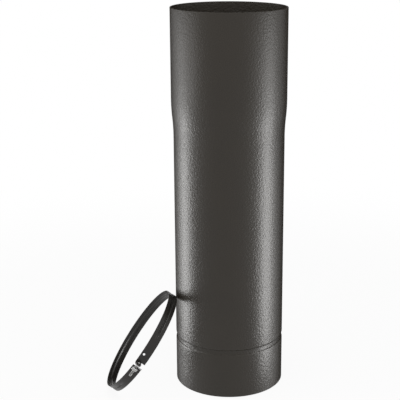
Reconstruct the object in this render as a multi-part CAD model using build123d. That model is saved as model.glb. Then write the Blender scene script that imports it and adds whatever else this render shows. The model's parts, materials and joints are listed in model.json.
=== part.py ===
"""Stove pipe with its locking band.

One length of rolled and welded steel flue pipe stands on its plain lower end. Its upper end is
swaged out to a socket that takes the lower end of the next length, and a groove is rolled into the
lower end. The locking band that closes round that groove has been taken off and leans on the pipe,
slack, with its screw and nut still in it.

Millimetres, +Z up. The origin is on the pipe's axis, at its lower end.
"""

import os
from math import asin, atan, cos, degrees, pi, radians, sin, sqrt, tan

from build123d import *

# Pipe
PIPE_LENGTH = 523.0
PIPE_DIAMETER = 150.0
PIPE_WALL = 2.0
PIPE_EDGE = 0.4

# Socket at the upper end, which slips over the next pipe
SOCKET_SLIP = 0.75
SOCKET_DEPTH = 120.0
SWAGE_LENGTH = 52.0

# Groove rolled into the lower end, measured on the outside
GROOVE_HEIGHT = 65.5
GROOVE_WIDTH = 11.0
GROOVE_FLOOR = 3.5
GROOVE_DEPTH = 2.0
GROOVE_INNER_BEND = 0.8

# Locking band: a strip with a rib rolled inwards, which lies in the groove when the band is closed
STRIP_WIDTH = 13.4
STRIP_THICKNESS = 1.2
STRIP_EDGE = 0.25
BAND_SLACK = 4.4
RIB_PLAY = 0.4
RIB_HOLLOW = 1.8
RIB_END_RUN = 38.0

# Ends of the strip, turned out into ears for the screw: round-ended tongues along the strip's upper
# edge, the upper one notched right into the strip, the lower one only down to its bend
EAR_BEND = 1.2
TONGUE_WIDTH = 8.2
SPARE_HOLE_DIAMETER = 3.2
SPARE_HOLE_RUN = 16.9

# Clamp screw and nut
SCREW_DIAMETER = 4.0
SCREW_LENGTH = 20.0
SCREW_TIP = 0.6
HEAD_DIAMETER = 8.0
HEAD_HEIGHT = 2.7
HEAD_CROWN = 1.2
HEAD_CLEARANCE = 0.4
DRIVE_WIDTH = 1.0
DRIVE_SPAN = 4.4
DRIVE_DEPTH = 1.5
NUT_FLATS = 7.0
NUT_HEIGHT = 3.2
NUT_CORNER_ANGLE = 30.0
HOLE_PLAY = 0.25
THREAD_PLAY = 0.1
SEAT_GAP = 0.05

# How the slack band leans on the pipe, in degrees: the slope of its plane, how far the way it faces
# is turned about the pipe, where round its rim it touches the pipe, and where its gap comes to lie
LEAN_SLOPE = 54.7
LEAN_HEADING = 2.8
LEAN_TOUCH = 12.8
GAP_TURN = -92.5
LEAN_GAP = 0.25

# Overrun of a cutting tool past the face that it cuts
OVERRUN = 2.0

PIPE_RADIUS = PIPE_DIAMETER / 2
SOCKET_RADIUS = PIPE_RADIUS + SOCKET_SLIP + PIPE_WALL

# The strip keeps its length along its middle, so the slack sets the open radius
STRIP_MIDDLE = PIPE_RADIUS + STRIP_THICKNESS / 2 + BAND_SLACK / (2 * pi)
STRIP_INNER = STRIP_MIDDLE - STRIP_THICKNESS / 2
STRIP_OUTER = STRIP_MIDDLE + STRIP_THICKNESS / 2
RIB_DEPTH = GROOVE_DEPTH - RIB_PLAY
RIB_ROUND = RIB_HOLLOW + STRIP_THICKNESS
RIB_CENTRE = STRIP_INNER - RIB_DEPTH + RIB_ROUND

# In the band's own frame its axis is Z and its gap is centred on X, with the screw along Y
SCREW_X = STRIP_OUTER + EAR_BEND + HEAD_CLEARANCE + max(HEAD_DIAMETER, NUT_FLATS) / 2
SCREW_Z = (STRIP_WIDTH - TONGUE_WIDTH) / 2
EAR_TIP = SCREW_X + TONGUE_WIDTH / 2
EAR_FACE = BAND_SLACK / 2
EAR_BACK = EAR_FACE + STRIP_THICKNESS
NOTCH_END = EAR_BACK + EAR_BEND


def pipe_line(inset):
    """Half section of one face of the pipe's wall, from the lower end up: inset 0 is the outside."""
    radius = PIPE_RADIUS - inset
    half_width = GROOVE_WIDTH / 2
    groove_start = (radius, GROOVE_HEIGHT - half_width)
    side_width = half_width - GROOVE_FLOOR / 2
    groove_turn = 2 * atan(GROOVE_DEPTH / side_width)
    shoulder = PIPE_WALL + GROOVE_INNER_BEND
    hollow = side_width / sin(groove_turn) - shoulder
    swage_start = (radius, PIPE_LENGTH - SOCKET_DEPTH - SWAGE_LENGTH)
    swage_turn = 2 * atan((SOCKET_RADIUS - PIPE_RADIUS) / SWAGE_LENGTH)
    swage_bend = SWAGE_LENGTH / sin(swage_turn) / 2
    with BuildLine() as line:
        Line((radius, 0), groove_start)
        into = JernArc(groove_start, (0, 1), shoulder - inset, degrees(groove_turn))
        level = JernArc(into @ 1, into % 1, hollow + inset, -degrees(groove_turn))
        floor = Line(level @ 1, (radius - GROOVE_DEPTH, GROOVE_HEIGHT + GROOVE_FLOOR / 2))
        rise = JernArc(floor @ 1, (0, 1), hollow + inset, -degrees(groove_turn))
        out = JernArc(rise @ 1, rise % 1, shoulder - inset, degrees(groove_turn))
        Line(out @ 1, swage_start)
        flare = JernArc(swage_start, (0, 1), swage_bend + inset, -degrees(swage_turn))
        settle = JernArc(flare @ 1, flare % 1, swage_bend - inset, degrees(swage_turn))
        Line(settle @ 1, (SOCKET_RADIUS - inset, PIPE_LENGTH))
    return line.line


def make_pipe():
    """The tube: one wall of even thickness, turned about Z, with its cut edges broken."""
    outside = pipe_line(0)
    inside = pipe_line(PIPE_WALL)
    lower_rim = Line(outside @ 0, inside @ 0)
    upper_rim = Line(outside @ 1, inside @ 1)
    section = make_face(Plane.XZ * (outside + inside + lower_rim + upper_rim))
    tube = revolve(section, Axis.Z)
    rims = tube.edges().filter_by(GeomType.CIRCLE).group_by(Axis.Z)
    return fillet(rims[0] + rims[-1], PIPE_EDGE)


def strip_line(offset):
    """Outline of one face of the strip, from the upper ear's tip round to the lower ear's tip.

    Offset 0 is the face towards the band's axis, which becomes the ears' faces at the gap.
    """
    radius = STRIP_INNER + offset
    bend = EAR_BEND + STRIP_THICKNESS - offset
    ear_y = EAR_FACE + offset
    bend_y = ear_y + bend
    bend_x = sqrt((radius + bend) ** 2 - bend_y ** 2)
    end_angle = degrees(asin(bend_y / (radius + bend)))
    with BuildLine() as line:
        upper = Line((EAR_TIP, ear_y), (bend_x, ear_y))
        turn_in = JernArc(upper @ 1, (-1, 0), bend, end_angle - 90)
        around = JernArc(turn_in @ 1, turn_in % 1, radius, 360 - 2 * end_angle)
        turn_out = JernArc(around @ 1, around % 1, bend, end_angle - 90)
        Line(turn_out @ 1, (EAR_TIP, -ear_y))
    return line.line


def make_bent_strip():
    """The plain strip, bent round with both ends turned out."""
    near = strip_line(0)
    far = strip_line(STRIP_THICKNESS)
    upper_tip = Line(near @ 0, far @ 0)
    lower_tip = Line(near @ 1, far @ 1)
    profile = make_face(near + far + upper_tip + lower_tip)
    strip = extrude(profile, STRIP_WIDTH / 2, both=True)
    sides = strip.edges().group_by(Axis.Z)
    return fillet(sides[0] + sides[-1], STRIP_EDGE)


def rib_rod(radius):
    """Round rod along the rib, whose ends leave the strip along the tangent so that it runs out."""
    run_out = sqrt(2 * RIB_CENTRE * RIB_DEPTH)
    start = (RIB_END_RUN + run_out) / RIB_CENTRE
    around = JernArc(
        (RIB_CENTRE * cos(start), RIB_CENTRE * sin(start)),
        (-sin(start), cos(start)),
        RIB_CENTRE,
        360 - 2 * degrees(start),
    )
    length = run_out + RIB_ROUND
    lead_in = Line((around @ 0) - (around % 0) * length, around @ 0)
    lead_out = Line(around @ 1, (around @ 1) + (around % 1) * length)
    section = Plane(origin=lead_in @ 0, z_dir=lead_in % 0) * Circle(radius)
    return sweep(section, Wire([lead_in, around, lead_out]))


def on_screw_axis(y):
    """Plane across the screw's axis at y, facing the screw's head."""
    return Plane(origin=(SCREW_X, y, SCREW_Z), x_dir=(1, 0, 0), z_dir=(0, 1, 0))


def tongue_waste(side, root):
    """What is cut from one end: the notch beside its tongue, and the corners of its round end.

    Side is 1 for the upper end and -1 for the lower one. Root is how far out the notch starts.
    """
    middle = side * NOTCH_END / 2
    reach = EAR_TIP - root + OVERRUN
    tool_length = NOTCH_END + OVERRUN
    blank = Pos(root + reach / 2, middle, 0) * Box(reach, NOTCH_END, 2 * STRIP_WIDTH)
    neck = Box(reach, tool_length, STRIP_WIDTH, align=(Align.MAX, Align.CENTER, Align.MIN))
    tongue = Pos(SCREW_X, middle, SCREW_Z - TONGUE_WIDTH / 2) * neck
    round_end = on_screw_axis(middle) * Cylinder(TONGUE_WIDTH / 2, tool_length)
    return blank - tongue - round_end


def make_band():
    """The locking band: bent strip, rib that runs out before the ends, ears and holes."""
    strip = make_bent_strip()
    within = Cylinder(STRIP_OUTER - STRIP_EDGE, STRIP_WIDTH)
    strip += rib_rod(RIB_ROUND) & within
    strip -= rib_rod(RIB_HOLLOW)
    strip -= tongue_waste(1, STRIP_INNER - OVERRUN)
    strip -= tongue_waste(-1, STRIP_OUTER + EAR_BEND)
    strip -= on_screw_axis(0) * Cylinder(SCREW_DIAMETER / 2 + HOLE_PLAY, 2 * (EAR_BACK + OVERRUN))
    spare_hole = Cylinder(SPARE_HOLE_DIAMETER / 2, STRIP_THICKNESS + 2 * OVERRUN)
    spare_turn = degrees(SPARE_HOLE_RUN / STRIP_OUTER)
    strip -= Rot(0, 0, spare_turn) * Pos(STRIP_MIDDLE, 0, SCREW_Z) * Rot(0, 90, 0) * spare_hole
    return strip


def make_screw():
    """Pan-head screw with a cross drive: its head lies on the upper ear, its end past the lower one."""
    head = HEAD_DIAMETER / 2
    shank = SCREW_DIAMETER / 2
    crown_radius = (head ** 2 + HEAD_CROWN ** 2) / (2 * HEAD_CROWN)
    with BuildLine() as outline:
        crown = RadiusArc((0, HEAD_HEIGHT), (head, HEAD_HEIGHT - HEAD_CROWN), crown_radius)
        Polyline(
            crown @ 1,
            (head, 0),
            (shank, 0),
            (shank, SCREW_TIP - SCREW_LENGTH),
            (shank - SCREW_TIP, -SCREW_LENGTH),
            (0, -SCREW_LENGTH),
            crown @ 0,
        )
    screw = revolve(make_face(Plane.XZ * outline.line), Axis.Z)
    slot = Box(DRIVE_SPAN, DRIVE_WIDTH, 2 * DRIVE_DEPTH)
    cross = Pos(0, 0, HEAD_HEIGHT) * (slot + Rot(0, 0, 90) * slot)
    return on_screw_axis(EAR_BACK + SEAT_GAP) * (screw - cross)


def make_nut():
    """Hexagon nut on the far side of the lower ear, with its corners turned off at both ends."""
    half_turn_of_a_side = 180 / 6
    flat = NUT_FLATS / 2
    corner = flat / cos(radians(half_turn_of_a_side))
    drop = (corner - flat) * tan(radians(NUT_CORNER_ANGLE))
    blank = extrude(RegularPolygon(flat, 6, major_radius=False, rotation=half_turn_of_a_side), NUT_HEIGHT)
    with BuildLine() as outline:
        Polyline(
            (0, 0),
            (flat, 0),
            (corner, drop),
            (corner, NUT_HEIGHT - drop),
            (flat, NUT_HEIGHT),
            (0, NUT_HEIGHT),
            close=True,
        )
    turned = revolve(make_face(Plane.XZ * outline.line), Axis.Z)
    bore = Cylinder(SCREW_DIAMETER / 2 + THREAD_PLAY, 2 * (NUT_HEIGHT + OVERRUN))
    return on_screw_axis(-EAR_BACK - SEAT_GAP - NUT_HEIGHT) * ((blank & turned) - bore)


def lean():
    """Where the slack band rests: its lowest edge on the floor, its upper rim against the pipe."""
    slope = radians(LEAN_SLOPE)
    touch = radians(LEAN_TOUCH)
    rim = STRIP_OUTER - STRIP_EDGE
    side = STRIP_WIDTH / 2 - STRIP_EDGE
    across = rim * cos(slope)
    facing = Vector(cos(touch) / across, sin(touch) / rim).normalized()
    reach = PIPE_RADIUS + LEAN_GAP + STRIP_EDGE
    centre = (
        -side * sin(slope) - across * cos(touch) - reach * facing.X,
        -rim * sin(touch) - reach * facing.Y,
        rim * sin(slope) + side * cos(slope) + STRIP_EDGE,
    )
    resting = Plane(origin=centre, x_dir=(cos(slope), 0, sin(slope)), z_dir=(-sin(slope), 0, cos(slope)))
    return Rot(0, 0, LEAN_HEADING) * resting.location * Rot(0, 0, GAP_TURN)


band_place = lean()
nodes = {
    "pipe": make_pipe(),
    "locking_band": band_place * make_band(),
    "clamp_screw": band_place * make_screw(),
    "clamp_nut": band_place * make_nut(),
}

os.makedirs("parts", exist_ok=True)
for name, shape in nodes.items():
    export_step(shape, f"parts/{name}.step")

head_way = Plane(band_place * on_screw_axis(0).location)
print("band centre", band_place.position)
print("screw axis through", head_way.origin, "towards its head", head_way.z_dir)
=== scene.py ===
"""Stove pipe with its locking band: meshes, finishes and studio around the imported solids.

Metres, +Z up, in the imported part's frame: the origin is on the pipe's axis, at its lower end.
The pipe, the screw and the nut are turned from their half sections, and the band is bent from its
strip section, each by a Geometry Nodes tree.
"""

from __future__ import annotations

import json
import logging
import math
from dataclasses import dataclass
from enum import Enum
from typing import Any, Mapping, Sequence

import bmesh
import bpy
from mathutils import Matrix, Vector

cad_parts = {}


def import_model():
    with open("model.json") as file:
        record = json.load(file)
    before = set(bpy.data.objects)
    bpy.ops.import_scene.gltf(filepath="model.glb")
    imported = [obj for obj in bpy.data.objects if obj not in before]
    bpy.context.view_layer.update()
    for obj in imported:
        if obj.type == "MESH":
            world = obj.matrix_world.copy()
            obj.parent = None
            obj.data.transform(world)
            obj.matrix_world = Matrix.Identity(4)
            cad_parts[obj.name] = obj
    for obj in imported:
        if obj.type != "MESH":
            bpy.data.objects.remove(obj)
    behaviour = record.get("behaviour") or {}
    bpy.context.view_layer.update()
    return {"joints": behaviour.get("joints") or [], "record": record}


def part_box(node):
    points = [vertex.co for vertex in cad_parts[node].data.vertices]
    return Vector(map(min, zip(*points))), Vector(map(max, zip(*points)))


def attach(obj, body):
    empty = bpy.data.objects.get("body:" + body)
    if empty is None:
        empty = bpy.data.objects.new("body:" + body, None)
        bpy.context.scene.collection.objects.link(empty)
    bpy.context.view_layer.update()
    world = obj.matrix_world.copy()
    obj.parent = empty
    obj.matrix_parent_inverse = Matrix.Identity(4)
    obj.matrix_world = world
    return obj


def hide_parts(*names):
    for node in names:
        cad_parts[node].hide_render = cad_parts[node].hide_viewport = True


log = logging.getLogger("stove_pipe")

MM = 0.001
QUARTER = math.pi / 2
WELD_DISTANCE = 0.000002
CREASE_ANGLE = math.radians(32)

Number = float | int | bpy.types.NodeSocket
Colour = tuple[float, float, float]


class Slot(Enum):
    """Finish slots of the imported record."""

    PIPE_PAINT = "pipe_paint"
    BAND_PAINT = "band_paint"
    ZINC_STEEL = "zinc_steel"


class Node(Enum):
    """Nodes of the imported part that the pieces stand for."""

    PIPE = "pipe"
    BAND = "locking_band"
    SCREW = "clamp_screw"
    NUT = "clamp_nut"


class Body(Enum):
    """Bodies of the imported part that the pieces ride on."""

    PIPE_AND_BAND = "pipe_and_band"
    SCREW = "clamp_screw"
    NUT = "clamp_nut"


class Mark(Enum):
    """Point attributes that the Geometry Nodes trees read."""

    THREAD = "thread_share"
    RIB = "rib_share"
    OUTWARD = "outward"
    WHOLE = "section_share"


class Gleam(Enum):
    """The pieces that a lamp's gleam is kept to."""

    TUBE = "tube"
    CLOSURE = "closure"


@dataclass
class Wiring:
    """Adds nodes to a node tree and joins their sockets."""

    tree: bpy.types.NodeTree

    def feed(self, node: bpy.types.Node, inputs: Mapping[Any, Any]) -> None:
        """Feed a node's inputs.

        Args:
            node: the node.
            inputs: values, or other nodes' sockets, for its inputs, by name or number.
        """
        for name, value in inputs.items():
            if isinstance(value, bpy.types.NodeSocket):
                self.tree.links.new(value, node.inputs[name])
            else:
                node.inputs[name].default_value = value

    def node(self, kind: str, inputs: Mapping[Any, Any] | None = None, **settings: Any) -> bpy.types.Node:
        """Add a node.

        Args:
            kind: the node's type name.
            inputs: what its inputs are fed.
            settings: the node's own properties.

        Returns:
            The new node.
        """
        made = self.tree.nodes.new(kind)
        for name, value in settings.items():
            setattr(made, name, value)
        self.feed(made, inputs or {})
        return made

    def math(self, operation: str, *values: Number, clamp: bool = False) -> bpy.types.NodeSocket:
        """Add a Math node."""
        inputs = dict(enumerate(values))
        return self.node("ShaderNodeMath", inputs, operation=operation, use_clamp=clamp).outputs[0]

    def added(self, first: Any, second: Any) -> bpy.types.NodeSocket:
        """Add the sum of two vectors."""
        return self.node("ShaderNodeVectorMath", {0: first, 1: second}, operation="ADD").outputs["Vector"]

    def scaled(self, vector: Any, share: Number) -> bpy.types.NodeSocket:
        """Add a vector times a number."""
        inputs = {"Vector": vector, "Scale": share}
        return self.node("ShaderNodeVectorMath", inputs, operation="SCALE").outputs["Vector"]

    def combined(self, x: Number, y: Number, z: Number) -> bpy.types.NodeSocket:
        """Add a vector of three numbers."""
        return self.node("ShaderNodeCombineXYZ", {"X": x, "Y": y, "Z": z}).outputs["Vector"]

    def ranged(self, value: Number, old: Sequence[Number], new: Sequence[Number], **settings: Any) -> Any:
        """Add a number that is carried from one range to another."""
        ends = dict(zip(("From Min", "From Max", "To Min", "To Max"), (*old, *new)))
        return self.node("ShaderNodeMapRange", {"Value": value, **ends}, **settings).outputs["Result"]

    def noise(self, size: float, detail: float, roughness: float) -> bpy.types.NodeSocket:
        """Add noise in the piece's own space.

        Args:
            size: size of its largest features.
            detail: how many finer layers it has.
            roughness: how strong the finer layers are.

        Returns:
            The noise's socket, about a half.
        """
        place = self.node("ShaderNodeTexCoord").outputs["Object"]
        inputs = {"Vector": place, "Scale": 1 / size, "Detail": detail, "Roughness": roughness}
        return self.node("ShaderNodeTexNoise", inputs).outputs["Fac"]

    def toned(self, field: Any, reach: float, colour: Colour, shares: Sequence[float]) -> bpy.types.NodeSocket:
        """Add a colour that goes from one shade to another.

        Args:
            field: the number that the shade follows, about a half.
            reach: how far from a half the two shades lie.
            colour: the colour.
            shares: the two shades, as shares of the colour.

        Returns:
            The colour's socket.
        """
        ramp = self.node("ShaderNodeValToRGB", {"Fac": field})
        dark, light = ramp.color_ramp.elements
        dark.position, light.position = 0.5 - reach, 0.5 + reach
        dark.color, light.color = ((*(part * share for part in colour), 1) for share in shares)
        return ramp.outputs["Color"]


def new_material(name: str) -> tuple[bpy.types.Material, Wiring, bpy.types.Node]:
    """Make a material.

    Args:
        name: its name.

    Returns:
        The material, its tree's wiring and its shader.
    """
    made = bpy.data.materials.new(name)
    made.use_nodes = True
    return made, Wiring(made.node_tree), made.node_tree.nodes["Principled BSDF"]


def reshade(wires: Wiring, shader: bpy.types.Node, surface: bpy.types.NodeSocket) -> None:
    """Give a material another surface than its first shader."""
    wires.tree.nodes.remove(shader)
    wires.feed(wires.tree.nodes["Material Output"], {"Surface": surface})


class Outline:
    """Pen that draws a flat outline from straight runs and tangent arcs."""

    def __init__(self, x: float, y: float, heading: float) -> None:
        """Set the pen down."""
        self.points: list[tuple[float, float]] = [(x, y)]
        self.headings: list[float] = [heading]

    def run_to(self, x: float, y: float, steps: int = 1) -> Outline:
        """Draw a straight run.

        Args:
            x: first coordinate of its end.
            y: second coordinate of its end.
            steps: how many equal steps it has.

        Returns:
            The pen itself.
        """
        start_x, start_y = self.points[-1]
        self.headings[-1] = heading = math.atan2(y - start_y, x - start_x)
        for step in range(1, steps + 1):
            share = step / steps
            self.points.append((start_x + (x - start_x) * share, start_y + (y - start_y) * share))
            self.headings.append(heading)
        return self

    def bend(self, radius: float, turn: float, steps: int) -> Outline:
        """Draw an arc that carries on in the pen's direction.

        Args:
            radius: the arc's radius.
            turn: the angle that it turns by, positive to the left.
            steps: how many equal steps it has.

        Returns:
            The pen itself.
        """
        x, y = self.points[-1]
        heading = self.headings[-1]
        side = math.copysign(QUARTER, turn)
        centre_x = x + radius * math.cos(heading + side)
        centre_y = y + radius * math.sin(heading + side)
        for step in range(1, steps + 1):
            now = heading + turn * step / steps
            self.points.append((centre_x - radius * math.cos(now + side), centre_y - radius * math.sin(now + side)))
            self.headings.append(now)
        return self

    def ogee(self, first: float, second: float, turn: float, steps: int) -> Outline:
        """Draw an arc, and another that bends back by as much."""
        return self.bend(first, turn, steps).bend(second, -turn, steps)


def chain_mesh(name: str, points: Sequence[Vector]) -> bpy.types.Mesh:
    """Make a chain of edges.

    Args:
        name: the mesh's name.
        points: its points in order.

    Returns:
        The mesh.
    """
    mesh = bpy.data.meshes.new(name)
    mesh.from_pydata(points, [(i, i + 1) for i in range(len(points) - 1)], [])
    return mesh


def mark(mesh: bpy.types.Mesh, name: Mark, values: Sequence[Any]) -> None:
    """Write a point attribute.

    Args:
        mesh: the mesh that gets it.
        name: the attribute.
        values: one number, or one vector, for each point.
    """
    is_vector = name is Mark.OUTWARD
    attribute = mesh.attributes.new(name.value, "FLOAT_VECTOR" if is_vector else "FLOAT", "POINT")
    for datum, value in zip(attribute.data, values):
        if is_vector:
            datum.vector = value
        else:
            datum.value = value


def linked(name: str, mesh: bpy.types.Mesh) -> bpy.types.Object:
    """Put a mesh into the scene.

    Args:
        name: the object's name.
        mesh: its mesh.

    Returns:
        The new object, at the origin.
    """
    piece = bpy.data.objects.new(name, mesh)
    bpy.context.scene.collection.objects.link(piece)
    return piece


def settle(piece: bpy.types.Object) -> None:
    """Turn a piece's modifiers into a plain mesh.

    Args:
        piece: the piece, whose modifiers are removed.
    """
    graph = bpy.context.evaluated_depsgraph_get()
    graph.update()
    mesh = bpy.data.meshes.new_from_object(piece.evaluated_get(graph))
    mesh.name = piece.name
    piece.modifiers.clear()
    piece.data = mesh


def cut(piece: bpy.types.Object, cutter: bpy.types.Object) -> None:
    """Cut one closed mesh away from another, and remove the cutter.

    Args:
        piece: the piece that is cut.
        cutter: what is taken away.
    """
    boolean = piece.modifiers.new("Cut", "BOOLEAN")
    boolean.operation = "DIFFERENCE"
    boolean.solver = "EXACT"
    boolean.object = cutter
    settle(piece)
    bpy.data.objects.remove(cutter)


def crease(piece: bpy.types.Object) -> None:
    """Shade a piece smooth, apart from its creases."""
    piece.data.shade_smooth()
    piece.data.set_sharp_from_angle(angle=CREASE_ANGLE)


def prism(name: str, outline: Sequence[Vector], depth: Vector) -> bpy.types.Object:
    """Make a closed prism."""
    return loft(name, outline, [point + depth for point in outline])


def loft(name: str, base: Sequence[Vector], top: Sequence[Vector]) -> bpy.types.Object:
    """Make a closed solid between two outlines of as many corners.

    Args:
        name: the object's name.
        base: corners of the first outline, in order.
        top: corners of the second outline, in the same order.

    Returns:
        The solid's object.
    """
    count = len(base)
    sides = [(i, (i + 1) % count, (i + 1) % count + count, i + count) for i in range(count)]
    mesh = bpy.data.meshes.new(name)
    mesh.from_pydata([*base, *top], [], [tuple(range(count)), tuple(range(count, 2 * count)), *sides])
    shell = bmesh.new()
    shell.from_mesh(mesh)
    bmesh.ops.recalc_face_normals(shell, faces=shell.faces)
    shell.to_mesh(mesh)
    shell.free()
    return linked(name, mesh)


class SectionTree:
    """Geometry Nodes tree that carries a section's points along rows of a grid."""

    FINISH = "Finish"

    def __init__(self, name: str) -> None:
        """Start the tree with a section coming in and a finished mesh going out.

        Args:
            name: the tree's name.
        """
        self.tree = bpy.data.node_groups.new(name, "GeometryNodeTree")
        self.wires = Wiring(self.tree)
        self.identifiers: dict[str, str] = {}
        self.tree.interface.new_socket("Section", in_out="INPUT", socket_type="NodeSocketGeometry")
        self.tree.interface.new_socket("Piece", in_out="OUTPUT", socket_type="NodeSocketGeometry")
        self.entry = self.wires.node("NodeGroupInput")
        self.add_input(self.FINISH, "NodeSocketMaterial")

    def add_input(self, name: str, kind: str) -> bpy.types.NodeSocket:
        """Add a named input.

        Args:
            name: the input's name.
            kind: its socket type.

        Returns:
            The socket that gives its value inside the tree.
        """
        socket = self.tree.interface.new_socket(name, in_out="INPUT", socket_type=kind)
        self.identifiers[name] = socket.identifier
        return self.entry.outputs[name]

    def count(self, geometry: bpy.types.NodeSocket) -> bpy.types.NodeSocket:
        """Count a chain's points."""
        return self.wires.node("GeometryNodeAttributeDomainSize", {"Geometry": geometry}).outputs["Point Count"]

    def sample(self, geometry: Any, value: Any, index: Any, kind: str) -> bpy.types.NodeSocket:
        """Read a chain's value at an index."""
        inputs = {"Geometry": geometry, "Value": value, "Index": index}
        return self.wires.node("GeometryNodeSampleIndex", inputs, data_type=kind, domain="POINT").outputs["Value"]

    def marked(self, name: Mark) -> bpy.types.NodeSocket:
        """Read a named point attribute."""
        kind = "FLOAT_VECTOR" if name is Mark.OUTWARD else "FLOAT"
        return self.wires.node("GeometryNodeInputNamedAttribute", {"Name": name.value}, data_type=kind).outputs[0]

    def grid(self, columns: Number, rows: Number) -> tuple[Any, Any, Any]:
        """Make a grid whose points are then placed by their column and row.

        Args:
            columns: points along the way.
            rows: points of the section.

        Returns:
            The grid, and the fields of each point's column and row.
        """
        wires = self.wires
        mesh = wires.node("GeometryNodeMeshGrid", {"Vertices X": columns, "Vertices Y": rows}).outputs["Mesh"]
        index = wires.node("GeometryNodeInputIndex").outputs["Index"]
        column = wires.math("FLOOR", wires.math("DIVIDE", index, rows))
        row = wires.math("MODULO", index, rows)
        return mesh, column, row

    def close(self, mesh: bpy.types.NodeSocket, position: bpy.types.NodeSocket) -> None:
        """Place the grid's points, weld its seams and poles, and finish the tree.

        Args:
            mesh: the grid.
            position: the field of its points' places.
        """
        wires = self.wires
        placed = wires.node("GeometryNodeSetPosition", {"Geometry": mesh, "Position": position})
        welded = wires.node(
            "GeometryNodeMergeByDistance",
            {"Geometry": placed.outputs["Geometry"], "Distance": WELD_DISTANCE},
        )
        smooth = wires.node("GeometryNodeSetShadeSmooth", {"Geometry": welded.outputs["Geometry"]}, domain="FACE")
        whole = wires.node("GeometryNodeRealizeInstances", {"Geometry": smooth.outputs["Geometry"]})
        finished = wires.node(
            "GeometryNodeSetMaterial",
            {"Geometry": whole.outputs["Geometry"], "Material": self.entry.outputs[self.FINISH]},
        )
        wires.node("NodeGroupOutput", {"Piece": finished.outputs["Geometry"]})

    def make(self, name: str, section: bpy.types.Mesh, values: dict[str, Any]) -> bpy.types.Object:
        """Run the tree on a section.

        Args:
            name: the new piece's name.
            section: the section's chain of points.
            values: the tree's inputs by name.

        Returns:
            The piece, as a plain mesh.
        """
        piece = linked(name, section)
        modifier = piece.modifiers.new(self.tree.name, "NODES")
        modifier.node_group = self.tree
        for key, value in values.items():
            modifier[self.identifiers[key]] = value
        settle(piece)
        return piece


class LatheTree(SectionTree):
    """Turns a half section about Z, with a hexagon's flats and a screw thread where they are asked for."""

    FACETS = "Facets round"
    FLATS = "Across flats"
    PITCH = "Thread pitch"
    DEPTH = "Thread depth"
    START = "Thread start"
    NO_FLATS = 10.0
    HEXAGON_SIDE = math.tau / 6
    CREST_SLOPE = 1.3

    def __init__(self) -> None:
        """Build the tree."""
        super().__init__("Turned section")
        wires = self.wires
        facets = self.add_input(self.FACETS, "NodeSocketInt")
        flats = self.add_input(self.FLATS, "NodeSocketFloat")
        pitch = self.add_input(self.PITCH, "NodeSocketFloat")
        depth = self.add_input(self.DEPTH, "NodeSocketFloat")
        start = self.add_input(self.START, "NodeSocketFloat")
        section = self.entry.outputs["Section"]
        mesh, column, row = self.grid(wires.math("ADD", facets, 1), self.count(section))
        turns = wires.math("DIVIDE", column, facets)
        angle = wires.math("MULTIPLY", turns, math.tau)

        place = wires.node("GeometryNodeInputPosition").outputs["Position"]
        point = wires.node("ShaderNodeSeparateXYZ", {"Vector": self.sample(section, place, row, "FLOAT_VECTOR")})
        height = point.outputs["Z"]

        folded = wires.math("MODULO", wires.math("ADD", angle, self.HEXAGON_SIDE / 2), self.HEXAGON_SIDE)
        off_flat = wires.math("SUBTRACT", folded, self.HEXAGON_SIDE / 2)
        flat_radius = wires.math("DIVIDE", wires.math("DIVIDE", flats, 2), wires.math("COSINE", off_flat))
        radius = wires.math("MINIMUM", point.outputs["X"], flat_radius)

        along = wires.math("DIVIDE", wires.math("ADD", height, start), pitch)
        phase = wires.math("FRACT", wires.math("SUBTRACT", along, turns))
        zigzag = wires.math("ABSOLUTE", wires.math("MULTIPLY_ADD", phase, 2, -1))
        level = (1 - self.CREST_SLOPE) / 2
        ridge = wires.math("MULTIPLY_ADD", zigzag, self.CREST_SLOPE, level, clamp=True)
        share = self.sample(section, self.marked(Mark.THREAD), row, "FLOAT")
        groove = wires.math("MULTIPLY", wires.math("SUBTRACT", 1, ridge), wires.math("MULTIPLY", depth, share))
        radius = wires.math("SUBTRACT", radius, groove)

        x = wires.math("MULTIPLY", radius, wires.math("COSINE", angle))
        y = wires.math("MULTIPLY", radius, wires.math("SINE", angle))
        self.close(mesh, wires.combined(x, y, height))

    def turn(
        self,
        name: str,
        outline: Outline,
        finish: bpy.types.Material,
        facets: int,
        flats: float = NO_FLATS,
        thread: Thread | None = None,
    ) -> bpy.types.Object:
        """Turn a half section.

        Args:
            name: the new piece's name.
            outline: the half section, as radius and height, drawn upwards on its outside.
            finish: the piece's material.
            facets: how many facets it has round its axis.
            flats: width across a hexagon's flats.
            thread: the thread on the section's threaded run, if it has one.

        Returns:
            The piece, as a plain mesh about Z.
        """
        section = chain_mesh(name, [Vector((radius, 0, height)) for radius, height in outline.points])
        cutting = thread or Thread(pitch=1.0, depth=0.0)
        mark(section, Mark.THREAD, [cutting.share(height) if thread else 0.0 for _, height in outline.points])
        values = {
            self.FINISH: finish,
            self.FACETS: facets,
            self.FLATS: flats,
            self.PITCH: cutting.pitch,
            self.DEPTH: cutting.depth,
            self.START: cutting.start,
        }
        return self.make(name, section, values)


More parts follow.
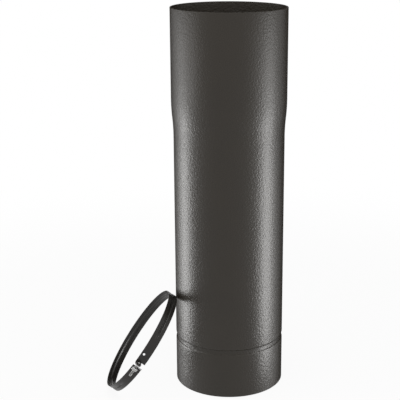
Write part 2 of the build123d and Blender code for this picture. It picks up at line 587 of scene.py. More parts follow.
class StripTree(SectionTree):
    """Bends a strip's section along a path, with a rib rolled inwards along its middle."""

    PATH = "Path"
    THICKNESS = "Strip thickness"
    RIB_DEPTH = "Rib depth"
    RIB_HALF_WIDTH = "Rib half width"
    RIB_TAPER = "Rib taper"
    RIB_FLAT = "Rib flat share"

    def __init__(self) -> None:
        """Build the tree."""
        super().__init__("Rolled strip")
        wires = self.wires
        path_object = self.add_input(self.PATH, "NodeSocketObject")
        thickness = self.add_input(self.THICKNESS, "NodeSocketFloat")
        depth = self.add_input(self.RIB_DEPTH, "NodeSocketFloat")
        half_width = self.add_input(self.RIB_HALF_WIDTH, "NodeSocketFloat")
        taper = self.add_input(self.RIB_TAPER, "NodeSocketFloat")
        flat_share = self.add_input(self.RIB_FLAT, "NodeSocketFloat")
        section = self.entry.outputs["Section"]
        path = wires.node("GeometryNodeObjectInfo", {"Object": path_object}).outputs["Geometry"]
        mesh, column, row = self.grid(self.count(path), self.count(section))

        place = wires.node("GeometryNodeInputPosition").outputs["Position"]
        at = self.sample(path, place, column, "FLOAT_VECTOR")
        outward = self.sample(path, self.marked(Mark.OUTWARD), column, "FLOAT_VECTOR")
        rib = self.sample(path, self.marked(Mark.RIB), column, "FLOAT")
        whole = self.sample(path, self.marked(Mark.WHOLE), column, "FLOAT")
        point = wires.node("ShaderNodeSeparateXYZ", {"Vector": self.sample(section, place, row, "FLOAT_VECTOR")})

        middle = wires.math("DIVIDE", thickness, 2)
        off_middle = wires.math("SUBTRACT", point.outputs["X"], middle)
        across = wires.math("MULTIPLY", point.outputs["Z"], whole)
        through = wires.math("MULTIPLY_ADD", off_middle, whole, middle)
        half = wires.math("SUBTRACT", half_width, wires.math("MULTIPLY", through, taper))
        reach = wires.math("DIVIDE", wires.math("ABSOLUTE", across), half)
        swell = wires.ranged(reach, (flat_share, 1.0), (1.0, 0.0), interpolation_type="SMOOTHSTEP")
        sunk = wires.math("MULTIPLY", wires.math("MULTIPLY", swell, rib), depth)
        offset = wires.scaled(outward, wires.math("SUBTRACT", through, sunk))
        self.close(mesh, wires.added(wires.added(at, offset), wires.combined(0, 0, across)))


@dataclass(frozen=True)
class Thread:
    """Screw thread on a run of a turned section.

    The thread is full between low and high, and runs out over one pitch at either end.
    """

    pitch: float
    depth: float
    low: float = 0.0
    high: float = 0.0
    start: float = 0.0

    def share(self, height: float) -> float:
        """Give the share of the full depth at a height."""
        inside = min(height - self.low, self.high - height) / self.pitch
        return max(0.0, min(1.0, inside + 1))


@dataclass(frozen=True)
class StoveEnamel:
    """Heat-proof enamel on steel: a fine pebbled skin whose tone clouds a little from place to place."""

    name: str
    colour: Colour
    cloud_share: float
    cloud_size: float
    pebble_size: float
    pebble_height: float
    smooth_roughness: float
    rough_roughness: float
    specular: float

    CLOUD_GRAIN = (4.0, 0.6)
    PEBBLE_GRAIN = (2.0, 0.45)
    NOISE_REACH = 0.2

    def material(self) -> bpy.types.Material:
        """Build the enamel's material.

        Returns:
            The material.
        """
        made, wires, shader = new_material(self.name)
        clouds = wires.noise(self.cloud_size, *self.CLOUD_GRAIN)
        pebbles = wires.noise(self.pebble_size, *self.PEBBLE_GRAIN)
        shades = (1 - self.cloud_share, 1 + self.cloud_share)
        reach = (0.5 - self.NOISE_REACH, 0.5 + self.NOISE_REACH)
        gloss = wires.ranged(pebbles, reach, (self.rough_roughness, self.smooth_roughness))
        relief = wires.node("ShaderNodeBump", {"Height": pebbles, "Strength": 1.0, "Distance": self.pebble_height})
        tone = wires.toned(clouds, self.NOISE_REACH, self.colour, shades)
        wires.feed(shader, {"Base Color": tone, "Roughness": gloss, "Normal": relief.outputs["Normal"]})
        wires.feed(shader, {"Specular IOR Level": self.specular})
        return made


@dataclass(frozen=True)
class ZincPlate:
    """Bright zinc on a small steel fastener, with fine turning marks and duller patches."""

    name: str
    colour: Colour
    patch_size: float
    smooth_roughness: float
    rough_roughness: float
    mark_size: float
    mark_height: float

    PATCH_GRAIN = (5.0, 0.65)
    MARK_GRAIN = (2.0, 0.5)
    PATCH_REACH = (0.3, 0.7)
    TONE_REACH = 0.25
    TONES = (0.82, 1.0)
    MARK_STRENGTH = 0.6

    def material(self) -> bpy.types.Material:
        """Build the plating's material.

        Returns:
            The material.
        """
        made, wires, shader = new_material(self.name)
        patches = wires.noise(self.patch_size, *self.PATCH_GRAIN)
        marks = wires.noise(self.mark_size, *self.MARK_GRAIN)
        gloss = wires.ranged(patches, self.PATCH_REACH, (self.smooth_roughness, self.rough_roughness))
        relief = wires.node(
            "ShaderNodeBump",
            {"Height": marks, "Strength": self.MARK_STRENGTH, "Distance": self.mark_height},
        )
        tone = wires.toned(patches, self.TONE_REACH, self.colour, self.TONES)
        wires.feed(shader, {"Base Color": tone, "Roughness": gloss, "Normal": relief.outputs["Normal"]})
        wires.feed(shader, {"Metallic": 1.0})
        return made


def install(piece: bpy.types.Object, node: Node, body: Body) -> None:
    """Let a finished piece stand for its node.

    Args:
        piece: the piece, in place.
        node: the node that it replaces.
        body: the body that it moves with.
    """
    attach(piece, body.value)
    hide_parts(node.value)
    log.info("%s stands for %s, %d faces", piece.name, node.value, len(piece.data.polygons))


@dataclass
class Pipe:
    """The tube: swaged out to a socket at the top, with a groove rolled in near its lower end."""

    length: float
    radius: float
    socket_radius: float
    wall: float = 2.0 * MM
    edge: float = 0.4 * MM
    socket_depth: float = 120.0 * MM
    swage_length: float = 52.0 * MM
    groove_height: float = 65.5 * MM
    groove_width: float = 11.0 * MM
    groove_floor: float = 3.5 * MM
    groove_depth: float = 2.0 * MM
    groove_inner_bend: float = 0.8 * MM
    facets: int = 256
    edge_steps: int = 5
    groove_steps: int = 8
    swage_steps: int = 10
    wall_steps: int = 4

    @classmethod
    def from_frame(cls, record: dict[str, Any]) -> Pipe:
        """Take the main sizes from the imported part.

        Args:
            record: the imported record.

        Returns:
            The pipe's sizes.
        """
        _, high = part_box(Node.PIPE.value)
        mounts = {mount["name"]: mount for mount in record["mounts"]}
        return cls(length=high.z, radius=mounts["spigot"]["dims"]["r_mm"] * MM, socket_radius=high.x)

    def section(self) -> Outline:
        """Draw the wall's section: up its outside, over the upper rim and down its inside.

        Returns:
            The closed outline, as radius and height.
        """
        half_width = self.groove_width / 2
        side_width = half_width - self.groove_floor / 2
        groove_turn = 2 * math.atan(self.groove_depth / side_width)
        shoulder = self.wall + self.groove_inner_bend
        hollow = side_width / math.sin(groove_turn) - shoulder
        swage_turn = 2 * math.atan((self.socket_radius - self.radius) / self.swage_length)
        swage_bend = self.swage_length / math.sin(swage_turn) / 2
        swage_start = self.length - self.socket_depth - self.swage_length
        bore = self.radius - self.wall
        socket_bore = self.socket_radius - self.wall

        rounding = (self.edge, QUARTER, self.edge_steps)

        pen = Outline(self.radius - self.edge, 0, 0).bend(*rounding)
        pen.run_to(self.radius, self.groove_height - half_width)
        pen.ogee(shoulder, hollow, groove_turn, self.groove_steps)
        pen.run_to(self.radius - self.groove_depth, self.groove_height + self.groove_floor / 2)
        pen.ogee(hollow, shoulder, -groove_turn, self.groove_steps)
        pen.run_to(self.radius, swage_start, self.wall_steps)
        pen.ogee(swage_bend, swage_bend, -swage_turn, self.swage_steps)
        pen.run_to(self.socket_radius, self.length - self.edge).bend(*rounding)
        pen.run_to(socket_bore + self.edge, self.length).bend(*rounding)

        pen.run_to(socket_bore, self.length - self.socket_depth)
        pen.ogee(swage_bend - self.wall, swage_bend + self.wall, -swage_turn, self.swage_steps)
        pen.run_to(bore, self.groove_height + half_width, self.wall_steps)
        pen.ogee(shoulder - self.wall, hollow + self.wall, -groove_turn, self.groove_steps)
        pen.run_to(bore - self.groove_depth, self.groove_height - self.groove_floor / 2)
        pen.ogee(hollow + self.wall, shoulder - self.wall, groove_turn, self.groove_steps)
        pen.run_to(bore, self.edge).bend(*rounding)
        return pen.run_to(self.radius - self.edge, 0)

    def build(self, lathe: LatheTree, finish: bpy.types.Material) -> list[bpy.types.Object]:
        """Turn the tube and let it stand for its node.

        Args:
            lathe: the tree that turns sections.
            finish: the tube's enamel.

        Returns:
            The tube alone.
        """
        tube = lathe.turn("flue_tube", self.section(), finish, self.facets)
        install(tube, Node.PIPE, Body.PIPE_AND_BAND)
        return [tube]


@dataclass
class LockingBand:
    """The slack band: a strip with a rib rolled inwards, its ends turned out into ears for the screw.

    In its own frame the band's axis is Z and its gap is centred on X, with the screw along Y.
    """

    pipe_radius: float
    width: float = 13.4 * MM
    thickness: float = 1.2 * MM
    edge: float = 0.25 * MM
    slack: float = 4.4 * MM
    rib_depth: float = 1.6 * MM
    rib_half_width: float = 2.75 * MM
    rib_taper: float = 0.7
    rib_flat: float = 0.3
    rib_end_run: float = 38.0 * MM
    rib_run_out: float = 15.7 * MM
    ear_bend: float = 1.2 * MM
    screw_standoff: float = 4.4 * MM
    tongue_width: float = 8.2 * MM
    screw_hole: float = 4.5 * MM
    spare_hole: float = 3.2 * MM
    spare_hole_run: float = 16.9 * MM
    slope: float = math.radians(54.7)
    heading: float = math.radians(2.8)
    gap_turn: float = math.radians(-92.5)
    rib_steps: int = 36
    side_steps: int = 3
    edge_steps: int = 4
    ear_steps: int = 2
    bend_steps: int = 10
    ring_steps: int = 220
    tongue_steps: int = 24
    hole_steps: int = 48

    CUT_THROUGH = 4

    @property
    def inner(self) -> float:
        """Radius of the strip's inner face: its length along its middle is the closed band's and the slack."""
        return self.pipe_radius + self.slack / math.tau

    @property
    def outer(self) -> float:
        """Radius of the strip's outer face."""
        return self.inner + self.thickness

    @property
    def ear_face(self) -> float:
        """Distance from the middle of the gap to an ear's face."""
        return self.slack / 2

    @property
    def ear_back(self) -> float:
        """Distance from the middle of the gap to an ear's back."""
        return self.ear_face + self.thickness

    @property
    def screw_x(self) -> float:
        """Distance from the band's axis to the screw's."""
        return self.outer + self.ear_bend + self.screw_standoff

    @property
    def screw_z(self) -> float:
        """Height of the screw's axis, on the middle of the tongue."""
        return (self.width - self.tongue_width) / 2

    @property
    def ear_tip(self) -> float:
        """Distance from the band's axis to the ears' tips."""
        return self.screw_x + self.tongue_width / 2

    def place(self, joints: Sequence[dict[str, Any]]) -> Matrix:
        """Find where the band leans, from the screw's joint and the angles that it leans at.

        Args:
            joints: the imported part's joints.

        Returns:
            The band's own frame.
        """
        screw = next(joint for joint in joints if joint["child"] == Body.SCREW.value)
        turned = (
            Matrix.Rotation(self.heading, 4, "Z")
            @ Matrix.Rotation(-self.slope, 4, "Y")
            @ Matrix.Rotation(self.gap_turn, 4, "Z")
        )
        middle = turned @ Vector((self.screw_x, 0, self.screw_z))
        return Matrix.Translation(Vector(screw["pos_m"]) - middle) @ turned

    def screw_place(self, y: float) -> Matrix:
        """Find a place on the screw's axis."""
        return Matrix.Translation((self.screw_x, y, self.screw_z)) @ Matrix.Rotation(-QUARTER, 4, "X")

    def section(self) -> Outline:
        """Draw the strip's section, with rounded edges.

        Returns:
            The closed outline, as distance from the inner face and height.
        """
        side, rib, beside = self.width / 2, self.rib_half_width, self.side_steps
        rounding = (self.edge, QUARTER, self.edge_steps)
        pen = Outline(self.thickness, self.edge - side, QUARTER)
        pen.run_to(self.thickness, -rib, beside).run_to(self.thickness, rib, self.rib_steps)
        pen.run_to(self.thickness, side - self.edge, beside).bend(*rounding)
        pen.run_to(self.edge, side).bend(*rounding)
        pen.run_to(0, rib, beside).run_to(0, -rib, self.rib_steps)
        pen.run_to(0, self.edge - side, beside).bend(*rounding)
        return pen.run_to(self.thickness - self.edge, -side).bend(*rounding)

    def path(self) -> bpy.types.Object:
        """Draw the strip's inner face from the upper ear's tip round to the lower ear's.

        Returns:
            The path's object, with the marks that the strip's tree reads.
        """
        bend = self.ear_bend + self.thickness
        bend_y = self.ear_face + bend
        end = math.asin(bend_y / (self.inner + bend))
        bend_x = math.sqrt((self.inner + bend) ** 2 - bend_y ** 2)
        pen = Outline(self.ear_tip, self.ear_face, math.pi)
        pen.run_to(bend_x, self.ear_face, self.ear_steps).bend(bend, end - QUARTER, self.bend_steps)
        pen.bend(self.inner, math.tau - 2 * end, self.ring_steps)
        pen.bend(bend, end - QUARTER, self.bend_steps).run_to(self.ear_tip, -self.ear_face, self.ear_steps)

        steps = list(zip(pen.points, pen.headings))
        steps = [steps[0], *steps, steps[-1]]
        chain = chain_mesh("band_path", [Vector((x, y, 0)) for (x, y), _ in steps])
        mark(chain, Mark.OUTWARD, [(math.sin(way), -math.cos(way), 0) for _, way in steps])
        mark(chain, Mark.RIB, [self.rib_share(x, y) for (x, y), _ in steps])
        mark(chain, Mark.WHOLE, [0.0, *(1.0 for _ in pen.points), 0.0])
        return linked("band_path", chain)

    def rib_share(self, x: float, y: float) -> float:
        """Give the rib's depth at a point of the strip: none near the ears, and full past its run-out.

        Args:
            x: the point's distance along the gap's middle.
            y: the point's distance across it.

        Returns:
            The share of the full depth.
        """
        from_gap = abs(math.atan2(y, x)) * self.outer
        share = max(0.0, min(1.0, (from_gap - self.rib_end_run) / self.rib_run_out))
        return share * share * (3 - 2 * share)

    def hole(self, name: str, diameter: float, depth: float, place: Matrix) -> bpy.types.Object:
        """Make a round cutter, centred on a place.

        Args:
            name: the cutter's name.
            diameter: its diameter.
            depth: its whole length.
            place: the frame whose Z it lies along.

        Returns:
            The cutter.
        """
        turns = [math.tau * step / self.hole_steps for step in range(self.hole_steps)]
        ring = [Vector((math.cos(turn), math.sin(turn), 0)) * diameter / 2 for turn in turns]
        base = [place @ (point - Vector((0, 0, depth / 2))) for point in ring]
        return prism(name, base, place.to_3x3() @ Vector((0, 0, depth)))

    def tongue_waste(self, side: int, root: float) -> bpy.types.Object:
        """Make what is cut from one end of the strip: the notch beside its tongue, and round the tongue's end.

        Args:
            side: 1 for the upper end, -1 for the lower one.
            root: distance from the band's axis to the notch's root.

        Returns:
            The cutter.
        """
        spare = 2 * self.tongue_width
        lower = self.screw_z - self.tongue_width / 2
        notch_end = self.ear_back + self.ear_bend
        pen = Outline(self.screw_x, self.screw_z + self.tongue_width / 2, 0)
        pen.bend(self.tongue_width / 2, -math.pi, self.tongue_steps)
        pen.run_to(root, lower).run_to(root, -spare)
        pen.run_to(self.ear_tip + spare, -spare).run_to(self.ear_tip + spare, spare)
        pen.run_to(self.screw_x, spare)
        outline = [Vector((x, 0, z)) for x, z in pen.points]
        return prism("tongue_waste", outline, Vector((0, side * notch_end, 0)))

    def build(self, strip: StripTree, finish: bpy.types.Material, place: Matrix) -> list[bpy.types.Object]:
        """Bend the strip, cut its tongues and holes, and let it stand for its node.

        Args:
            strip: the tree that bends strips.
            finish: the band's enamel.
            place: the band's own frame.

        Returns:
            The strip alone.
        """
        section = chain_mesh("clamp_strip", [Vector((n, 0, v)) for n, v in self.section().points])
        path = self.path()
        values = {
            strip.FINISH: finish,
            strip.PATH: path,
            strip.THICKNESS: self.thickness,
            strip.RIB_DEPTH: self.rib_depth,
            strip.RIB_HALF_WIDTH: self.rib_half_width,
            strip.RIB_TAPER: self.rib_taper,
            strip.RIB_FLAT: self.rib_flat,
        }
        band = strip.make("clamp_strip", section, values)
        bpy.data.objects.remove(path)
        spare_place = (
            Matrix.Rotation(self.spare_hole_run / self.outer, 4, "Z")
            @ Matrix.Translation((self.outer, 0, self.screw_z))
            @ Matrix.Rotation(QUARTER, 4, "Y")
        )
        through_ears, through_strip = self.CUT_THROUGH * self.ear_back, self.CUT_THROUGH * self.thickness
        cut(band, self.tongue_waste(1, self.inner - self.ear_bend))
        cut(band, self.tongue_waste(-1, self.outer + self.ear_bend))
        cut(band, self.hole("screw_hole", self.screw_hole, through_ears, self.screw_place(0)))
        cut(band, self.hole("spare_hole", self.spare_hole, through_strip, spare_place))
        band.data.transform(place)
        crease(band)
        install(band, Node.BAND, Body.PIPE_AND_BAND)
        return [band]


@dataclass
class ClampFastening:
    """The pan-head screw through the ears, and the nut on its far end."""

    pitch: float = 0.7 * MM
    diameter: float = 4.0 * MM
    length: float = 20.0 * MM
    tip: float = 0.6 * MM
    head_diameter: float = 8.0 * MM
    head_height: float = 2.7 * MM
    head_crown: float = 1.2 * MM
    head_edge: float = 0.3 * MM
    drive_span: float = 4.4 * MM
    drive_width: float = 1.0 * MM
    drive_depth: float = 1.5 * MM
    drive_taper: float = 0.55
    nut_flats: float = 7.0 * MM
    nut_height: float = 3.2 * MM
    nut_corner_angle: float = math.radians(30)
    nut_face_share: float = 0.97
    nut_play: float = 0.08 * MM
    thread_share: float = 0.6134
    nut_thread_share: float = 0.85
    seat_gap: float = 0.05 * MM
    rows_in_a_pitch: int = 12
    screw_facets: int = 64
    nut_facets: int = 96
    edge_steps: int = 5
    crown_steps: int = 10
    chamfer_steps: int = 6
    lead_steps: int = 3

    @property
    def thread_depth(self) -> float:
        """Depth of the screw's thread."""
        return self.thread_share * self.pitch

    def rows(self, run: float) -> int:
        """Give the rows that a threaded run needs."""
        return math.ceil(run / self.pitch * self.rows_in_a_pitch)

    def shank_outline(self) -> Outline:
        """Draw the shank's half section.

        Returns:
            The outline, from the axis at its tip to the axis under its head.
        """
        shank = self.diameter / 2
        pen = Outline(0, -self.length, 0)
        pen.run_to(shank - self.tip, -self.length)
        pen.run_to(shank, self.tip - self.length, self.chamfer_steps)
        return pen.run_to(shank, 0, self.rows(self.length - self.tip)).run_to(0, 0)

    def head_outline(self) -> Outline:
        """Draw the head's half section: out under it, up its edge and over its crown.

        Returns:
            The outline, from the axis at the shank to the axis on its crown.
        """
        head = self.head_diameter / 2
        crown_radius = (head ** 2 + self.head_crown ** 2) / (2 * self.head_crown)
        crown_turn = math.asin((head - self.head_edge) / crown_radius)
        crown_rise = crown_radius * (1 - math.cos(crown_turn))
        pen = Outline(0, 0, 0)
        pen.run_to(head - self.head_edge, 0).bend(self.head_edge, QUARTER, self.edge_steps)
        pen.run_to(head, self.head_height - crown_rise - self.head_edge)
        pen.bend(self.head_edge, QUARTER - crown_turn, self.edge_steps)
        pen.run_to(crown_radius * math.sin(crown_turn), self.head_height - crown_rise)
        pen.headings[-1] = math.pi - crown_turn
        return pen.bend(crown_radius, crown_turn, self.crown_steps)

    def drive(self) -> bpy.types.Object:
        """Make the tapered cross that is cut from the screw's head.

        Returns:
            The cutter.
        """

        def cross(reach: float, width: float, height: float) -> list[Vector]:
            """Give a cross's twelve corners at a height."""
            corners = [(reach, -width), (reach, width), (width, width)]
            turns = [Matrix.Rotation(QUARTER * arm, 3, "Z") for arm in range(4)]
            return [turn @ Vector((x, y, height)) for turn in turns for x, y in corners]

        reach = self.drive_span / 2
        width = self.drive_width / 2
        upper = cross(reach * (2 - self.drive_taper), width, self.head_height + self.drive_depth)
        lower = cross(reach * self.drive_taper, width, self.head_height - self.drive_depth)
        return loft("cross_drive", lower, upper)

    def nut_outline(self) -> Outline:
        """Draw the nut's section: up its outside, in over its upper face and down its threaded bore.

        Returns:
            The closed outline, as radius and height.
        """
        flat = self.nut_flats / 2
        face = flat * self.nut_face_share
        corner = flat / math.cos(LatheTree.HEXAGON_SIDE / 2)
        drop = (corner - flat) * math.tan(self.nut_corner_angle)
        lead = self.pitch / 2
        bore = self.diameter / 2 + self.nut_play
        mouth = bore + lead / 2
        pen = Outline(mouth, 0, 0)
        pen.run_to(face, 0).run_to(corner, drop, self.chamfer_steps)
        pen.run_to(corner, self.nut_height - drop).run_to(face, self.nut_height, self.chamfer_steps)
        pen.run_to(mouth, self.nut_height).run_to(bore, self.nut_height - lead, self.lead_steps)
        pen.run_to(bore, lead, self.rows(self.nut_height - 2 * lead))
        return pen.run_to(mouth, 0, self.lead_steps)

    def build(
        self,
        lathe: LatheTree,
        plating: bpy.types.Material,
        paint: bpy.types.Material,
        band: LockingBand,
        place: Matrix,
    ) -> list[bpy.types.Object]:
        """Turn the screw and the nut, and let them stand for their nodes.

        Args:
            lathe: the tree that turns sections.
            plating: the finish of the nut and the screw's thread.
            paint: the finish of the screw's head, which was painted with the band.
            band: the band that they close.
            place: the band's own frame.

        Returns:
            The screw's two pieces and the nut.
        """
        seat = band.ear_back + self.seat_gap
        screw_thread = Thread(
            pitch=self.pitch,
            depth=self.thread_depth,
            low=self.tip - self.length,
            high=-2 * self.pitch,
        )
        shank = lathe.turn("threaded_shank", self.shank_outline(), plating, self.screw_facets, thread=screw_thread)
        head = lathe.turn("screw_head", self.head_outline(), paint, self.screw_facets)
        cut(head, self.drive())
        for half, slot in ((shank, Slot.ZINC_STEEL), (head, Slot.BAND_PAINT)):
            half.data.transform(place @ band.screw_place(seat))
            crease(half)
            install(half, Node.SCREW, Body.SCREW)

        nut_thread = Thread(
            pitch=self.pitch,
            depth=self.thread_depth * self.nut_thread_share,
            low=self.pitch,
            high=self.nut_height - self.pitch,
            start=-2 * seat - self.nut_height,
        )
        nut = lathe.turn(
            "hexagon_nut",
            self.nut_outline(),
            plating,
            self.nut_facets,
            flats=self.nut_flats,
            thread=nut_thread,
        )
        nut.data.transform(place @ band.screw_place(-seat - self.nut_height))
        crease(nut)
        install(nut, Node.NUT, Body.NUT)
        return [shank, head, nut]


@dataclass(frozen=True)
class Softbox:
    """A soft area lamp that faces a point on the pipe's axis.

    Its direction is the angle from the camera's side round the pipe, in degrees, positive to the right.
    """

    name: str
    direction: float
    distance: float
    height: float
    target_height: float
    width: float
    tall: float
    radiance: float
    gleam: Gleam | None = None

    def build(self, pieces: Mapping[Gleam, Sequence[bpy.types.Object]]) -> None:
        """Put the lamp into the scene.

        A lamp that is there for a gleam shows in the gloss of its own pieces and adds no other light.
        A lamp without one lights everything, and the gloss shows the white studio in its place.

        Args:
            pieces: the finished pieces that each gleam falls on.
        """
        lamp = bpy.data.lights.new(self.name, "AREA")
        lamp.shape = "RECTANGLE"
        lamp.size = self.width
        lamp.size_y = self.tall
        lamp.energy = self.radiance * math.pi * self.width * self.tall
        held = bpy.data.objects.new(self.name, lamp)
        held.visible_camera = False
        held.visible_glossy = self.gleam is not None
        held.visible_diffuse = self.gleam is None
        if self.gleam:
            shown_on = bpy.data.collections.new(self.name)
            for piece in pieces[self.gleam]:
                shown_on.objects.link(piece)
            held.light_linking.receiver_collection = shown_on
        turn = math.radians(self.direction)
        spot = Vector((math.sin(turn) * self.distance, -math.cos(turn) * self.distance, self.height))
        aim = Vector((0, 0, self.target_height)) - spot
        held.matrix_world = Matrix.Translation(spot) @ aim.to_track_quat("-Z", "Y").to_matrix().to_4x4()
        bpy.context.scene.collection.objects.link(held)


@dataclass(frozen=True)
class BlackFlag:
    """A curved black backdrop behind the object, which shows in its gloss and nowhere else.

    It goes from one direction to another, in degrees as the lamps' are.
    """

    name: str
    start: float
    end: float
    distance: float
    low: float
    high: float
    columns: int = 12

    def build(self) -> None:
        """Put the card up round the pipe."""
        black, wires, shader = new_material(self.name)
        cloth = wires.node("ShaderNodeBsdfDiffuse", {"Color": (0, 0, 0, 1)})
        reshade(wires, shader, cloth.outputs["BSDF"])
        points: list[tuple[float, float, float]] = []
        for column in range(self.columns + 1):
            turn = math.radians(self.start + (self.end - self.start) * column / self.columns)
            x, y = math.sin(turn) * self.distance, -math.cos(turn) * self.distance
            points += [(x, y, self.low), (x, y, self.high)]
        faces = [(low, low + 2, low + 3, low + 1) for low in range(0, 2 * self.columns, 2)]
        mesh = bpy.data.meshes.new(self.name)
        mesh.from_pydata(points, [], faces)
        mesh.materials.append(black)
        card = linked(self.name, mesh)
        card.visible_camera = card.visible_diffuse = card.visible_transmission = card.visible_shadow = False


@dataclass
class Studio:
    """White floor, soft lamps and the camera."""

    softboxes: Sequence[Softbox]
    flags: Sequence[BlackFlag]
    ambient: float = 0.55
    floor_reach: float = 8.0
    floor_drop: float = 0.0003
    floor_colour: float = 0.9
    floor_glow_near: float = 0.92
    glow_start: float = 0.45
    glow_end: float = 1.1
    picture_width: float = 400.0
    focal_pixels: float = 1040.0
    axis_shift_pixels: float = 29.1
    sensor: float = 36.0
    camera_back: float = 1.374
    camera_height: float = 0.6555
    camera_dip: float = math.radians(16.04)

    @staticmethod
    def seen_as_background(wires: Wiring) -> bpy.types.NodeSocket:
        """Tell the rays that show the background from those that only light.

        Args:
            wires: the material's or the world's tree.

        Returns:
            A socket that is 1 for camera, glossy and transmission rays.
        """
        path = wires.node("ShaderNodeLightPath").outputs
        shown = wires.math("MAXIMUM", path["Is Camera Ray"], path["Is Glossy Ray"])
        return wires.math("MAXIMUM", shown, path["Is Transmission Ray"])

    def build_world(self) -> None:
        """Make the world: white where it is seen, and a soft even light elsewhere."""
        world = bpy.data.worlds.new("studio_white")
        bpy.context.scene.world = world
        world.use_nodes = True
        wires = Wiring(world.node_tree)
        strength = wires.math("MULTIPLY_ADD", self.seen_as_background(wires), 1 - self.ambient, self.ambient)
        wires.feed(world.node_tree.nodes["Background"], {"Color": (1, 1, 1, 1), "Strength": strength})

    def floor_finish(self) -> bpy.types.Material:
        """Make the floor's material: white paper that keeps the shadow near the object.

        Returns:
            The material.
        """
        made, wires, shader = new_material("floor_paper")
        paper = wires.node("ShaderNodeBsdfDiffuse", {"Color": (*(self.floor_colour,) * 3, 1)})
        glow = wires.node("ShaderNodeEmission", {"Color": (1, 1, 1, 1), "Strength": 1.0})
        place = wires.node("ShaderNodeTexCoord").outputs["Object"]
        away = wires.node("ShaderNodeVectorMath", {0: place}, operation="LENGTH").outputs["Value"]
        fade = wires.ranged(
            away,
            (self.glow_start, self.glow_end),
            (self.floor_glow_near, 1.0),
            interpolation_type="SMOOTHSTEP",
        )
        share = wires.math("MULTIPLY", fade, self.seen_as_background(wires))
        blend = wires.node("ShaderNodeMixShader", {0: share, 1: paper.outputs["BSDF"], 2: glow.outputs["Emission"]})
        reshade(wires, shader, blend.outputs["Shader"])
        return made

    def build_floor(self) -> None:
        """Lay the floor under the object."""
        reach, drop = self.floor_reach, -self.floor_drop
        corners = [(-reach, -reach, drop), (reach, -reach, drop), (reach, reach, drop), (-reach, reach, drop)]
        mesh = bpy.data.meshes.new("floor")
        mesh.from_pydata(corners, [], [(0, 1, 2, 3)])
        mesh.materials.append(self.floor_finish())
        floor = linked("floor", mesh)
        floor.visible_glossy = floor.visible_shadow = False

    def build_camera(self) -> None:
        """Set the camera where the photograph was taken from."""
        lens = bpy.data.cameras.new("camera")
        lens.sensor_width = self.sensor
        lens.lens = self.focal_pixels / self.picture_width * self.sensor
        lens.shift_x = -self.axis_shift_pixels / self.picture_width
        held = bpy.data.objects.new("camera", lens)
        held.location = (0, -self.camera_back, self.camera_height)
        held.rotation_euler = (QUARTER - self.camera_dip, 0, 0)
        bpy.context.scene.collection.objects.link(held)
        bpy.context.scene.camera = held

    def build(self, pieces: Mapping[Gleam, Sequence[bpy.types.Object]]) -> None:
        """Put up the whole studio.

        Args:
            pieces: the finished pieces that each gleam falls on.
        """
        self.build_world()
        self.build_floor()
        for softbox in self.softboxes:
            softbox.build(pieces)
        for flag in self.flags:
            flag.build()
        self.build_camera()
        bpy.context.scene.view_settings.view_transform = "Standard"
        log.info("studio with %d softboxes", len(self.softboxes))


PIPE_ENAMEL = StoveEnamel(
    name="pebbled_enamel",
    colour=(0.0235, 0.0187, 0.0128),
    cloud_share=0.08,
    cloud_size=0.05,
    pebble_size=0.0024,
    pebble_height=0.00045,
    smooth_roughness=0.34,
    rough_roughness=0.40,
    specular=0.36,
)
BAND_ENAMEL = StoveEnamel(
    name="satin_enamel",
    colour=(0.018, 0.0163, 0.0142),
    cloud_share=0.10,
    cloud_size=0.02,
    pebble_size=0.0012,
    pebble_height=0.00001,
    smooth_roughness=0.30,
    rough_roughness=0.38,
    specular=0.34,
)
FASTENER_PLATE = ZincPlate(
    name="bright_zinc",
    colour=(0.40, 0.40, 0.39),
    patch_size=0.003,
    smooth_roughness=0.22,
    rough_roughness=0.38,
    mark_size=0.0004,
    mark_height=0.00001,
)
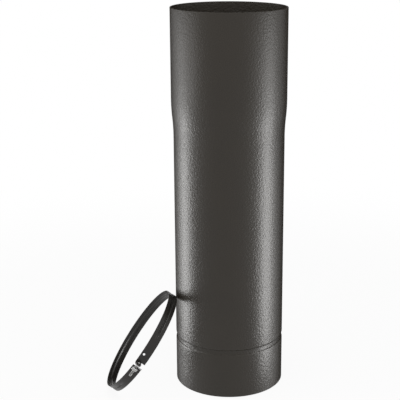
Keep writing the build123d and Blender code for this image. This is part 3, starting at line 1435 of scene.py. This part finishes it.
# Name, direction, distance, height, height aimed at, width, tallness, radiance, gleam.
SOFTBOXES = (
    Softbox("right_softbox", 78.5, 0.45, 0.0775, 0.0775, 0.17, 0.435, 14.0, Gleam.TUBE),
    Softbox("right_upper_softbox", 78.5, 0.45, 0.4, 0.4, 0.17, 0.21, 5.2, Gleam.TUBE),
    Softbox("right_edge_softbox", 59, 0.45, 0.42, 0.42, 0.2, 0.24, 1.1, Gleam.TUBE),
    Softbox("left_softbox", -97.5, 0.45, 0.08, 0.08, 0.16, 0.43, 11.0, Gleam.TUBE),
    Softbox("left_upper_softbox", -97.5, 0.45, 0.4, 0.4, 0.16, 0.21, 3.2, Gleam.TUBE),
    Softbox("left_edge_softbox", -74, 0.45, 0.42, 0.42, 0.22, 0.24, 1.9, Gleam.TUBE),
    Softbox("closure_right_softbox", 78.5, 0.45, 0.12, 0.12, 0.08, 0.51, 6.0, Gleam.CLOSURE),
    Softbox("closure_high_softbox", -92, 0.42, 0.62, 0.06, 0.3, 0.3, 12.0, Gleam.CLOSURE),
    Softbox("closure_back_softbox", -163, 0.5, 0.0, 0.06, 0.4, 0.25, 1.2, Gleam.CLOSURE),
    Softbox("top_softbox", -10, 0.6, 1.7, 0.1, 1.4, 1.4, 1.6),
)
# Name, first and last direction, distance, lowest and highest edge.
BLACK_FLAGS = (
    BlackFlag("right_flag", 122, 180, 0.7, -0.6, 0.9),
    BlackFlag("left_flag", -135, -180, 0.7, -0.6, 0.9),
)


def main() -> None:
    """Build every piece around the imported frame, then the studio."""
    logging.basicConfig(level=logging.INFO, format="%(name)s: %(message)s")
    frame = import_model()
    lathe = LatheTree()
    pipe = Pipe.from_frame(frame["record"])
    tube = pipe.build(lathe, PIPE_ENAMEL.material())
    band = LockingBand(pipe_radius=pipe.radius)
    place = band.place(frame["joints"])
    paint = BAND_ENAMEL.material()
    closure = band.build(StripTree(), paint, place)
    closure += ClampFastening().build(lathe, FASTENER_PLATE.material(), paint, band, place)
    Studio(SOFTBOXES, BLACK_FLAGS).build({Gleam.TUBE: tube, Gleam.CLOSURE: closure})


if __name__ == "__main__":
    main()
